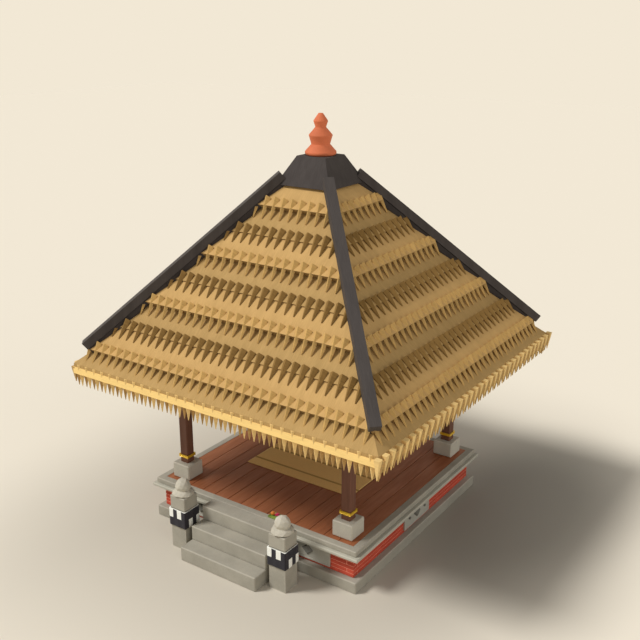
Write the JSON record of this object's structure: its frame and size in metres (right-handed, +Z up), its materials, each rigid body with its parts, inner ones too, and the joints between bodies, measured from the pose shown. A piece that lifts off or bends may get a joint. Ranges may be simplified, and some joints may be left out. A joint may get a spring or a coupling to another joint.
{
  "type": "thatched pavilion",
  "caption": "Open square pavilion with a steep tiered thatch roof on four timber posts, a brick and stone plinth, a stair and two stone guardian posts.",
  "frame": {"origin": "on the ground under the middle of the square plinth", "axes": "+Z up, +X to the right as seen by someone facing the stair, -Y towards the stair"},
  "size_m": [4.6, 4.568, 5.3567],
  "materials": {
    "plinth_stone": "matte, lightly pitted grey stone with soft edges",
    "grey_stone": "matte carved grey stone",
    "pale_stone": "matte pale stone",
    "carved_stone": "matte stone with darker diamonds",
    "red_brick": "matte fired brick with pale joints",
    "deck_wood": "satin oiled boards",
    "post_wood": "satin dark hardwood",
    "frame_wood": "matte sawn timber",
    "gold_band": "satin gold",
    "woven_mat": "matte woven leaf with darker stripes",
    "poleng_cloth": "matte black and white check",
    "palm_leaf": "matte folded leaf",
    "thatch": "matte dry grass",
    "light_fringe": "matte dry grass",
    "dark_fringe": "matte weathered grass",
    "eave_fringe": "matte dry grass",
    "eave_cane": "matte split cane",
    "charcoal_ridge": "matte black palm fibre",
    "terracotta": "matte fired clay"
  },
  "bodies": {
    "root": {"plinth_course": "plinth_stone", "brick_band": "red_brick", "cornice_lip": "pale_stone", "cap_slab": "plinth_stone", "carved_panels": "carved_stone", "deck_boards": "deck_wood", "step_lower": "plinth_stone", "step_middle": "plinth_stone", "step_upper": "plinth_stone", "column_base_front_left": "grey_stone", "column_base_front_right": "grey_stone", "column_base_back_left": "grey_stone", "column_base_back_right": "grey_stone", "post_front_left": "post_wood", "post_front_right": "post_wood", "post_back_left": "post_wood", "post_back_right": "post_wood", "post_collars": "gold_band", "ring_beam": "frame_wood", "rafters": "frame_wood", "floor_mat": "woven_mat", "guardian_post_left": "grey_stone", "guardian_post_right": "grey_stone", "guardian_cloths": "poleng_cloth", "guardian_figure_left": "grey_stone", "guardian_figure_right": "grey_stone", "offering_tray": "palm_leaf", "thatch_tier_1": "thatch", "thatch_tier_2": "thatch", "thatch_tier_3": "thatch", "thatch_tier_4": "thatch", "thatch_tier_5": "thatch", "thatch_tier_6": "thatch", "thatch_tier_7": "thatch", "thatch_tier_8": "thatch", "fringe_light": "light_fringe", "fringe_dark": "dark_fringe", "fringe_eave": "eave_fringe", "eave_strip": "eave_cane", "hip_ridge_front_left": "charcoal_ridge", "hip_ridge_front_right": "charcoal_ridge", "hip_ridge_back_left": "charcoal_ridge", "hip_ridge_back_right": "charcoal_ridge", "roof_cap": "charcoal_ridge", "finial": "terracotta"}
  },
  "joints": []
}
